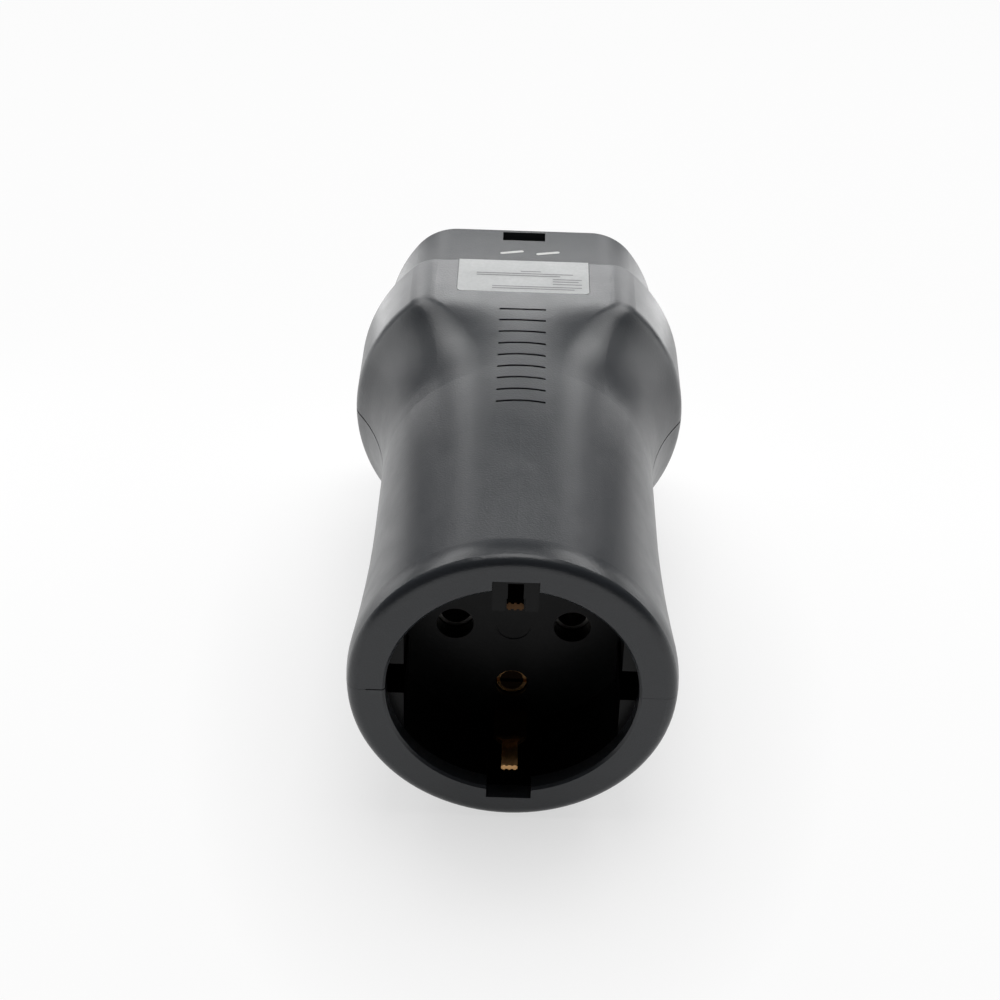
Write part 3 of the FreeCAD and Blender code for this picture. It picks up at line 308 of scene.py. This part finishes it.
# Sizes, colours and lamps that a user would change
# Plain rules on the label, in mm from its front left corner: left end, right end and distance from the front
LABEL_RULES = (
    (11.6, 15.4, 8.0),
    (3.4, 21.4, 7.1),
    (3.4, 19.0, 6.3),
    (17.6, 23.0, 5.1),
    (17.6, 22.4, 4.2),
    (17.6, 23.0, 3.2),
    (6.4, 23.0, 2.0),
    (6.4, 21.6, 1.2),
)

# Empty fields on the label: left, right, front and rear
LABEL_FIELDS = (
    (4.2, 21.0, 9.0, 11.4),
    (3.0, 6.6, 3.4, 5.4),
    (8.6, 10.6, 3.0, 5.2),
    (11.2, 13.2, 3.0, 5.2),
    (13.9, 15.9, 3.0, 5.2),
    (1.4, 5.6, 1.0, 2.5),
)


class AdapterMarks(bpy.types.PropertyGroup):
    dash_length: FloatProperty(name="Dash length", description="Length of each printed dash on the nose",
                               default=4.6 * MM, unit="LENGTH", precision=4)
    dash_width: FloatProperty(name="Dash width", description="Width of each printed dash",
                              default=0.8 * MM, unit="LENGTH", precision=4)
    dash_slant: FloatProperty(name="Dash slant", description="Lean of the dashes from the axis",
                              default=math.radians(-76), subtype="ANGLE")
    dash_distance: FloatProperty(name="Dash distance", description="Distance of the dashes from the connector's tip",
                                 default=13.0 * MM, unit="LENGTH", precision=4)
    ink: FloatProperty(name="Ink thickness", description="Height of the printed ink",
                       default=0.03 * MM, unit="LENGTH", precision=5)
    rule: FloatProperty(name="Rule width", description="Width of the label's ruled lines",
                        default=0.3 * MM, unit="LENGTH", precision=5)


class AdapterColours(bpy.types.PropertyGroup):
    shell: FloatVectorProperty(name="Shells", description="Colour of the two housing halves",
                               default=(0.030, 0.0335, 0.039), subtype="COLOR", min=0.0, max=1.0)
    nose: FloatVectorProperty(name="Nose", description="Colour of the connector's nose",
                              default=(0.034, 0.037, 0.041), subtype="COLOR", min=0.0, max=1.0)
    # The socket's cup: black plastic, darkened further as painted shade in the recess
    insert: FloatVectorProperty(name="Socket insert", description="Colour of the socket's cup",
                                default=(0.003, 0.0033, 0.0036), subtype="COLOR", min=0.0, max=1.0)
    brass: FloatVectorProperty(name="Brass", description="Colour of the earthing clips",
                               default=(0.78, 0.46, 0.2), subtype="COLOR", min=0.0, max=1.0)
    plating: FloatVectorProperty(name="Plating", description="Colour of the plated contacts",
                                 default=(0.72, 0.7, 0.66), subtype="COLOR", min=0.0, max=1.0)
    label: FloatVectorProperty(name="Label", description="Colour of the label's film",
                               default=(0.4, 0.41, 0.41), subtype="COLOR", min=0.0, max=1.0)
    ink: FloatVectorProperty(name="Ink", description="Colour of the label's lines",
                             default=(0.17, 0.17, 0.175), subtype="COLOR", min=0.0, max=1.0)
    dash: FloatVectorProperty(name="Dashes", description="Colour of the dashes on the nose",
                              default=(0.45, 0.45, 0.44), subtype="COLOR", min=0.0, max=1.0)


# The table: its glow beside the object and further off, the distances between which the one turns into the other,
# those between which reflections lose it, how much of it they lose, and the middle and slimness of the dimmer oval
NEAR_GLOW = 0.54
FAR_GLOW = 0.92
GLOW_RISE = (0.03, 0.065)
TABLE_EDGE = (0.35, 0.75)
EDGE_LOSS = 0.85
TABLE_MIDDLE = (0.0, 0.055, 0.0)
OBJECT_SLIMNESS = 1.9

# Two points of the table, below the lip and below the collar
FLOOR_FRONT = (0.0, 0.00329, -0.02583)
FLOOR_REAR = (0.0, 0.08374, -0.03064)

# Painted shade on the earthing clips and inside the screw heads
CLIP_SHADE_COLOUR = (0.11, 0.06, 0.03)
SCREW_HEAD_SHADE_COLOUR = (0.025, 0.014, 0.008)

# The two dashes across the nose, and the camera: place, turn in degrees and sideways shift
DASHES_ACROSS = (-2.3 * MM, 4.65 * MM)
CAMERA_PLACE = (-0.00201, -0.24017, 0.19818)
CAMERA_TURN = (55.9937, -1.5025, 1.1177)
CAMERA_SHIFT = -0.0024

# The point that all lamps face, and the lamps by name: heading from the connector's side and rise in degrees,
# distance, width, height and power
LAMP_AIM = (0.0, 0.06, 0.0)
LAMPS = {
    "rear_lamp": (0, 31.9, 0.106, 0.05, 0.012, 0.0155),
    "nose_lamp": (0, 20.7, 0.096, 0.05, 0.016, 0.003),
    "left_corner_lamp": (-23.8, 25.1, 0.104, 0.03, 0.026, 0.007),
    "right_corner_lamp": (23.8, 25.1, 0.104, 0.03, 0.026, 0.007),
    "left_rear_lamp": (-31.1, 8.7, 0.092, 0.03, 0.034, 0.0058),
    "right_rear_lamp": (31.1, 8.7, 0.092, 0.03, 0.034, 0.0062),
    "left_lamp": (-66.8, 11, 0.155, 0.07, 0.07, 0.03),
    "right_lamp": (66.8, 11, 0.155, 0.07, 0.07, 0.03),
    "left_high_lamp": (-45, 40, 0.6, 0.3, 0.2, 0.72),
    "right_high_lamp": (45, 40, 0.6, 0.3, 0.2, 0.85),
    "top_lamp": (0, 80, 0.9, 0.6, 0.6, 4.0),
}


class AdapterStudio(bpy.types.PropertyGroup):
    sky: FloatProperty(name="Fill light", description="Strength of the even light from all round",
                       default=0.04, min=0.0)
    lens: FloatProperty(name="Lens", description="Focal length of the camera on a 36 mm sensor",
                        default=72.0, unit="CAMERA")


# Operators
class ADAPTER_OT_housing(bpy.types.Operator):
    """Finish the two halves of the housing and their screws"""
    bl_idname = "adapter.housing"
    bl_label = "Housing"

    def execute(self, context):
        colours = context.scene.adapter_colours
        shell = moulded_plastic("shell_finish", tuple(colours.shell), 0.31, 0.3, 0.00032, 0.5)
        finish_node("upper_shell", shell)
        finish_node("lower_shell", shell)
        steel = drawn_metal("zinc_finish", (0.62, 0.6, 0.56), 0.32, 2, 0.2)
        finish_node("housing_screws", steel)
        finish_node("retainer_screws", steel)
        return {"FINISHED"}


class ADAPTER_OT_label(bpy.types.Operator):
    """Finish the plate on the collar and print its empty ruled fields"""
    bl_idname = "adapter.label"
    bl_label = "Label"

    def execute(self, context):
        marks, colours = context.scene.adapter_marks, context.scene.adapter_colours
        finish_node("rating_label", film("label_finish", tuple(colours.label)))
        shape = bmesh.new()
        for x0, x1, y in LABEL_RULES:
            label_mark(shape, (x0, x1, y, y + marks.rule / MM), marks.ink)
        for field in LABEL_FIELDS:
            label_mark(shape, field, marks.ink, marks.rule)
        bmesh.ops.recalc_face_normals(shape, faces=shape.faces)
        add_piece("label_rules", shape, film("ink_finish", tuple(colours.ink)))
        return {"FINISHED"}


class ADAPTER_OT_nose(bpy.types.Operator):
    """Finish the connector's nose and print the two dashes on its flat"""
    bl_idname = "adapter.nose"
    bl_label = "Nose"

    def execute(self, context):
        marks, colours = context.scene.adapter_marks, context.scene.adapter_colours
        finish_node("nose_housing", moulded_plastic("nose_finish", tuple(colours.nose), 0.34, 0.5, 0.00026, 0.4))
        shape = bmesh.new()
        for x in DASHES_ACROSS:
            place = Vector((x, NOSE_HIGH.y - marks.dash_distance, NOSE_HIGH.z))
            rounded_strip(shape, marks.dash_width, marks.dash_length, marks.ink, marks.dash_slant, place)
        bmesh.ops.recalc_face_normals(shape, faces=shape.faces)
        add_piece("nose_dashes", shape, film("dash_finish", tuple(colours.dash)))
        return {"FINISHED"}


class ADAPTER_OT_socket(bpy.types.Operator):
    """Finish the socket's cup, its contacts and the earthing clips"""
    bl_idname = "adapter.socket"
    bl_label = "Socket"

    def execute(self, context):
        colours = context.scene.adapter_colours
        # The cup's black plastic, darkened further as painted shade in the recess
        black = moulded_plastic("insert_black_and_shade_finish", tuple(colours.insert), 0.36, 0.25, 0.0003, 0.15)
        finish_node("socket_insert", black)
        finish_node("socket_base", black)
        brass = drawn_metal("brass_finish", tuple(colours.brass), 0.36, 1, 0.2)
        # Painted shade on the clips: darker behind the taper and on the whole upper clip
        paint_metal_shade(brass, self.painted_clip_shade, CLIP_SHADE_COLOUR)
        finish_node("earth_bracket", brass)
        head = drawn_metal("screw_finish", tuple(colours.brass), 0.26, 1, 0.35)
        # Painted shade inside the screw heads, which stay bright along their rims
        paint_metal_shade(head, self.painted_head_shade, SCREW_HEAD_SHADE_COLOUR)
        finish_node("socket_screws", head)
        # Painted shade: the socket's contacts at half their plating's brightness, so they look dark inside the pin
        # holes
        plated = drawn_metal("plated_shade_finish", shade(tuple(colours.plating), 0.5), 0.34, 1, 0.25)
        finish_node("socket_contact_left", plated)
        finish_node("socket_contact_right", plated)
        return {"FINISHED"}

    @staticmethod
    def painted_clip_shade(tree, x, y, z):
        """Painted shade: the lower clip stays bright in front of the taper and is darkened behind it, deeper in the
        socket; the upper clip is darkened all over.
        """
        behind = spread(tree, y, 8.0 * MM, 11.0 * MM, 0.0, 1.0)
        above = spread(tree, z, -1.0 * MM, 1.0 * MM, 0.0, 1.0)
        return math_node(tree, "MAXIMUM", behind, above)

    @staticmethod
    def painted_head_shade(tree, x, y, z):
        """Painted shade: the screw heads stay bright along their rims and are darkened inside them."""
        low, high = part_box("socket_screws")
        radius = (high.x - low.x) / 2
        up = math_node(tree, "SUBTRACT", math_node(tree, "ABSOLUTE", z), high.z - radius)
        square = math_node(tree, "ADD", math_node(tree, "MULTIPLY", x, x), math_node(tree, "MULTIPLY", up, up))
        return spread(tree, math_node(tree, "SQRT", square), 0.72 * radius, 0.88 * radius, 1.0, 0.0)


class ADAPTER_OT_connector(bpy.types.Operator):
    """Finish the carrier, its sleeves and the seal"""
    bl_idname = "adapter.connector"
    bl_label = "Connector"

    def execute(self, context):
        colours = context.scene.adapter_colours
        carrier = moulded_plastic("carrier_finish", (0.02, 0.0205, 0.022), 0.4, 0.3, 0.0003)
        finish_node("contact_carrier", carrier)
        finish_node("contact_retainer", carrier)
        silver = drawn_metal("silver_finish", shade(tuple(colours.plating), 1.12), 0.2, 1, 0.15)
        for name in ("line", "neutral", "earth", "pilot", "proximity"):
            finish_node(name + "_contact", silver)
        finish_node("nose_gasket", soft_rubber("seal_finish", (0.015, 0.015, 0.016)))
        return {"FINISHED"}


class ADAPTER_OT_inside(bpy.types.Operator):
    """Finish the wires and the signal board"""
    bl_idname = "adapter.inside"
    bl_label = "Inside"

    def execute(self, context):
        finish_node("line_wire", wire_cover("brown_cover", (0.17, 0.06, 0.025)))
        finish_node("neutral_wire", wire_cover("blue_cover", (0.02, 0.12, 0.45)))
        finish_node("earth_wire", wire_cover("earth_cover", (0.03, 0.3, 0.06), (0.75, 0.6, 0.04)))
        finish_node("board_earth_wire", drawn_metal("tinned_finish", (0.68, 0.68, 0.66), 0.35, 1, 0.2))
        finish_node("signal_board", board_finish("board_finish", (0.02, 0.16, 0.06), (0.06, 0.32, 0.12)))
        body = (0.14, 0.33, 0.5)
        brown, black, red, gold = (0.2, 0.07, 0.03), (0.01, 0.01, 0.01), (0.5, 0.03, 0.02), (0.6, 0.42, 0.12)
        rings = {
            "proximity_resistor": (brown, red, black, gold),
            "pilot_resistor": (red, brown, brown, gold),
        }
        for name, bands in rings.items():
            low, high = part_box(name)
            centre = (low.x + high.x) / 2
            finish_node(name, banded_body(name + "_finish", body, bands, centre, 1.05 * MM, 0.45 * MM))
        low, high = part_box("pilot_diode")
        centre = (low.x + high.x) / 2
        cathode = centre + 1.5 * MM
        silver = (0.7, 0.7, 0.68)
        finish_node("pilot_diode", banded_body("diode_finish", black, (silver,), cathode, 1.0 * MM, 0.6 * MM))
        return {"FINISHED"}


class ADAPTER_OT_stage(bpy.types.Operator):
    """Set the floor, the lamps, the sky and the camera"""
    bl_idname = "adapter.stage"
    bl_label = "Studio"

    def execute(self, context):
        studio = context.scene.adapter_studio
        scene = context.scene
        scene.view_settings.view_transform = "Standard"
        self.floor()
        middle = Vector(LAMP_AIM)
        for name, (heading, lift, distance, width, height, power) in LAMPS.items():
            turn, rise = math.radians(heading), math.radians(lift)
            away = Vector((math.sin(turn) * math.cos(rise), math.cos(turn) * math.cos(rise), math.sin(rise)))
            self.lamp(name, middle + away * distance, middle, width, height, power)
        self.sky(scene, studio.sky)
        camera = bpy.data.cameras.new("camera")
        camera.lens = studio.lens
        camera.sensor_width = 36.0
        camera.clip_start = 0.01
        camera.shift_x = CAMERA_SHIFT
        holder = bpy.data.objects.new("camera", camera)
        scene.collection.objects.link(holder)
        holder.location = CAMERA_PLACE
        holder.rotation_euler = [math.radians(angle) for angle in CAMERA_TURN]
        scene.camera = holder
        return {"FINISHED"}

    def floor(self):
        """A wide pale plane that touches the lip and the collar from below."""
        shape = bmesh.new()
        bmesh.ops.create_grid(shape, x_segments=1, y_segments=1, size=4.0)
        front, rear = Vector(FLOOR_FRONT), Vector(FLOOR_REAR)
        run = rear - front
        tilt = Matrix.Rotation(math.atan2(run.z, run.y), 4, "X")
        bmesh.ops.transform(shape, matrix=Matrix.Translation(front) @ tilt, verts=shape.verts)
        mesh = bpy.data.meshes.new("floor")
        shape.to_mesh(mesh)
        shape.free()
        material, tree, shader, place = new_finish("floor_finish")
        cloud = spread(tree, noise(tree, place, 3.0), 0.3, 0.7, 0.0, 1.0)
        tree.links.new(blend_colour(tree, cloud, (0.86, 0.86, 0.86), (0.9, 0.9, 0.9)), shader.inputs["Base Color"])
        shader.inputs["Roughness"].default_value = 0.9
        shader.inputs["Specular IOR Level"].default_value = 0.1
        self.whiten(tree, shader, place)
        mesh.materials.append(material)
        floor = bpy.data.objects.new("floor", mesh)
        bpy.context.scene.collection.objects.link(floor)

    def whiten(self, tree, shader, place):
        """Lets the camera and reflections see the table nearly white, with the object's shadow on it.

        Reflections see the table only as far as its edge, and a darker room beyond it."""
        glow = tree.nodes.new("ShaderNodeEmission")
        path = tree.nodes.new("ShaderNodeLightPath")
        mirrored = path.outputs["Is Glossy Ray"]
        reach = tree.nodes.new("ShaderNodeVectorMath")
        reach.operation = "LENGTH"
        tree.links.new(place, reach.inputs[0])
        around = tree.nodes.new("ShaderNodeMapping")
        around.vector_type = "TEXTURE"
        around.inputs["Location"].default_value = TABLE_MIDDLE
        around.inputs["Scale"].default_value = (1.0, OBJECT_SLIMNESS, 1.0)
        tree.links.new(place, around.inputs["Vector"])
        aside = tree.nodes.new("ShaderNodeVectorMath")
        aside.operation = "LENGTH"
        tree.links.new(around.outputs["Vector"], aside.inputs[0])
        strength = spread(tree, aside.outputs["Value"], *GLOW_RISE, NEAR_GLOW, FAR_GLOW)
        lost = spread(tree, reach.outputs["Value"], *TABLE_EDGE, 0.0, EDGE_LOSS)
        beyond = math_node(tree, "MULTIPLY", lost, mirrored)
        paint = shader.inputs["Base Color"].links[0].from_socket
        tree.links.new(blend_colour(tree, beyond, paint, (0.0, 0.0, 0.0)), shader.inputs["Base Color"])
        tree.links.new(spread(tree, beyond, 0.0, 1.0, 1.0, 0.0), glow.inputs["Strength"])
        seen = math_node(tree, "MAXIMUM", path.outputs["Is Camera Ray"], mirrored)
        mix = tree.nodes.new("ShaderNodeMixShader")
        tree.links.new(math_node(tree, "MULTIPLY", seen, strength), mix.inputs["Fac"])
        tree.links.new(shader.outputs["BSDF"], mix.inputs[1])
        tree.links.new(glow.outputs["Emission"], mix.inputs[2])
        output = next(node for node in tree.nodes if node.bl_idname == "ShaderNodeOutputMaterial")
        tree.links.new(mix.outputs["Shader"], output.inputs["Surface"])

    def lamp(self, name, place, aim, width, height, power):
        """A soft lamp that the camera doesn't see."""
        light = bpy.data.lights.new(name, "AREA")
        light.shape = "RECTANGLE"
        light.size, light.size_y = width, height
        light.energy = power
        holder = bpy.data.objects.new(name, light)
        bpy.context.scene.collection.objects.link(holder)
        holder.location = place
        holder.rotation_euler = (aim - Vector(place)).to_track_quat("-Z", "Y").to_euler()
        holder.visible_camera = False

    def sky(self, scene, fill):
        """White to the camera, and an even weak fill for everything else."""
        world = bpy.data.worlds.new("sky")
        scene.world = world
        world.use_nodes = True
        tree = world.node_tree
        tree.nodes.clear()
        output = tree.nodes.new("ShaderNodeOutputWorld")
        back = tree.nodes.new("ShaderNodeBackground")
        back.inputs["Color"].default_value = (1.0, 1.0, 1.0, 1.0)
        path = tree.nodes.new("ShaderNodeLightPath")
        strength = spread(tree, path.outputs["Is Camera Ray"], 0.0, 1.0, fill, 1.0)
        tree.links.new(strength, back.inputs["Strength"])
        tree.links.new(back.outputs["Background"], output.inputs["Surface"])


class ADAPTER_PT_panel(bpy.types.Panel):
    """The adapter's steps and values"""
    bl_label = "Charging adapter"
    bl_idname = "ADAPTER_PT_panel"
    bl_space_type = "VIEW_3D"
    bl_region_type = "UI"
    bl_category = "Adapter"

    def draw(self, context):
        for step in STEPS:
            self.layout.operator(step.bl_idname)
        for group in ("adapter_marks", "adapter_colours", "adapter_studio"):
            values = getattr(context.scene, group)
            box = self.layout.box()
            for name in values.__annotations__:
                box.prop(values, name)


GROUPS = {"adapter_marks": AdapterMarks, "adapter_colours": AdapterColours, "adapter_studio": AdapterStudio}
STEPS = (
    ADAPTER_OT_housing,
    ADAPTER_OT_label,
    ADAPTER_OT_nose,
    ADAPTER_OT_socket,
    ADAPTER_OT_connector,
    ADAPTER_OT_inside,
    ADAPTER_OT_stage,
)


def register():
    for group in GROUPS.values():
        bpy.utils.register_class(group)
    for name, group in GROUPS.items():
        setattr(bpy.types.Scene, name, PointerProperty(type=group))
    for step in STEPS:
        bpy.utils.register_class(step)
    bpy.utils.register_class(ADAPTER_PT_panel)


def unregister():
    bpy.utils.unregister_class(ADAPTER_PT_panel)
    for step in reversed(STEPS):
        bpy.utils.unregister_class(step)
    for name in GROUPS:
        delattr(bpy.types.Scene, name)
    for group in reversed(GROUPS.values()):
        bpy.utils.unregister_class(group)


def main():
    register()
    bpy.ops.adapter.housing()
    bpy.ops.adapter.label()
    bpy.ops.adapter.nose()
    bpy.ops.adapter.socket()
    bpy.ops.adapter.connector()
    bpy.ops.adapter.inside()
    bpy.ops.adapter.stage()


if __name__ == "__main__":
    main()
